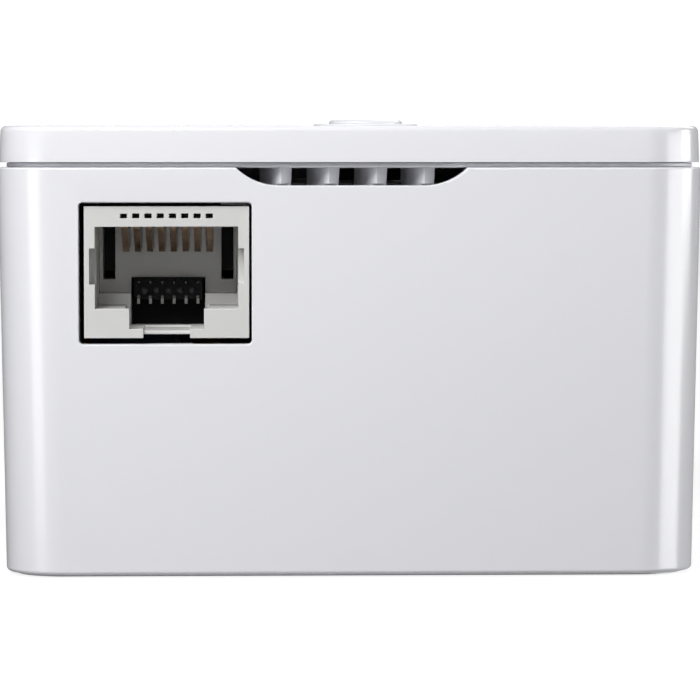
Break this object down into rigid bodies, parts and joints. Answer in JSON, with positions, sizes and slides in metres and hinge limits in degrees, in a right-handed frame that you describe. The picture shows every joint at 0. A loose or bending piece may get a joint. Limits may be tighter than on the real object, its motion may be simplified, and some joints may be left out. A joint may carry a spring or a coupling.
{
  "type": "powerline adapter",
  "caption": "White plug-in powerline network adapter with a network socket and vents in its end, a pairing button on its lid and a mains plug that folds into the back.",
  "frame": {"origin": "centre of the flat back, which the adapter lies on", "axes": "+Z from the back towards the lid, -Y towards the end with the network socket, +X to the right when that end is looked at with the lid uppermost"},
  "size_m": [0.0592, 0.082, 0.0382],
  "materials": {
    "case_white": "glossy moulded plastic, cool white",
    "frame_white": "satin moulded plastic",
    "light_guide_clear": "polished clear plastic",
    "jack_grey": "satin moulded plastic, light grey",
    "moulding_black": "satin moulded plastic",
    "contact_gold": "gold-plated spring wire",
    "blade_nickel": "nickel-plated, polished",
    "screw_steel": "zinc-plated",
    "spring_bronze": "bare spring bronze",
    "board_green": "solder mask over glass laminate",
    "chip_black": "moulded epoxy",
    "thermal_pad_grey": "soft silicone sheet",
    "sink_aluminium": "extruded, bare",
    "led_resin": "phosphor resin",
    "ferrite_grey": "sintered ferrite",
    "winding_tape": "polyester tape",
    "copper_wire": "enamelled copper",
    "capacitor_sleeve": "shrunk plastic sleeve",
    "film_box_yellow": "moulded box",
    "disc_blue": "dipped epoxy",
    "fuse_ceramic": "glazed ceramic",
    "lead_insulation": "soft plastic insulation"
  },
  "bodies": {
    "case": {"rear_housing": "case_white", "inner_frame": "frame_white", "front_cover": "case_white", "button_ring": "frame_white", "tact_switch": "chip_black", "light_guide_power": "light_guide_clear", "light_guide_powerline": "light_guide_clear", "light_guide_ethernet": "light_guide_clear", "led_power": "led_resin", "led_powerline": "led_resin", "led_ethernet": "led_resin", "case_screw_1": "screw_steel", "case_screw_2": "screw_steel", "case_screw_3": "screw_steel", "case_screw_4": "screw_steel", "jack_housing": "jack_grey", "jack_insert": "moulding_black", "jack_contact_1": "contact_gold", "jack_contact_2": "contact_gold", "jack_contact_3": "contact_gold", "jack_contact_4": "contact_gold", "jack_contact_5": "contact_gold", "jack_contact_6": "contact_gold", "jack_contact_7": "contact_gold", "jack_contact_8": "contact_gold", "plug_well": "frame_white", "contact_leaf_left": "spring_bronze", "contact_leaf_right": "spring_bronze", "mains_lead_left": "lead_insulation", "mains_lead_right": "lead_insulation", "main_board": "board_green", "signal_board": "board_green", "board_header": "chip_black", "fuse": "fuse_ceramic", "bridge_rectifier": "chip_black", "varistor": "disc_blue", "line_filter_capacitor": "film_box_yellow", "choke_core": "ferrite_grey", "choke_winding_live": "copper_wire", "choke_winding_neutral": "copper_wire", "bulk_capacitor": "capacitor_sleeve", "transformer_core": "ferrite_grey", "transformer_winding": "winding_tape", "output_capacitor": "capacitor_sleeve", "coupling_transformer": "ferrite_grey", "coupling_capacitor": "disc_blue", "lan_transformer": "chip_black", "modem_chip": "chip_black", "thermal_pad": "thermal_pad_grey", "heat_sink": "sink_aluminium", "memory_chip": "chip_black", "crystal": "screw_steel"},
    "pair_button": {"pair_button": "case_white", "switch_plunger": "moulding_black"},
    "plug": {"plug_carrier": "moulding_black", "plug_blade_left": "blade_nickel", "plug_blade_right": "blade_nickel"}
  },
  "joints": [
    {"name": "pair_button_press", "type": "slide", "parent": "case", "child": "pair_button", "axis": [0, 0, -1], "range_m": [0, 0.0004], "stiffness_N_per_m": 800},
    {"name": "plug_fold", "type": "hinge", "parent": "case", "child": "plug", "pos_m": [0, 0.01, 0.0039], "axis": [1, 0, 0], "range_deg": [0, 90]}
  ]
}
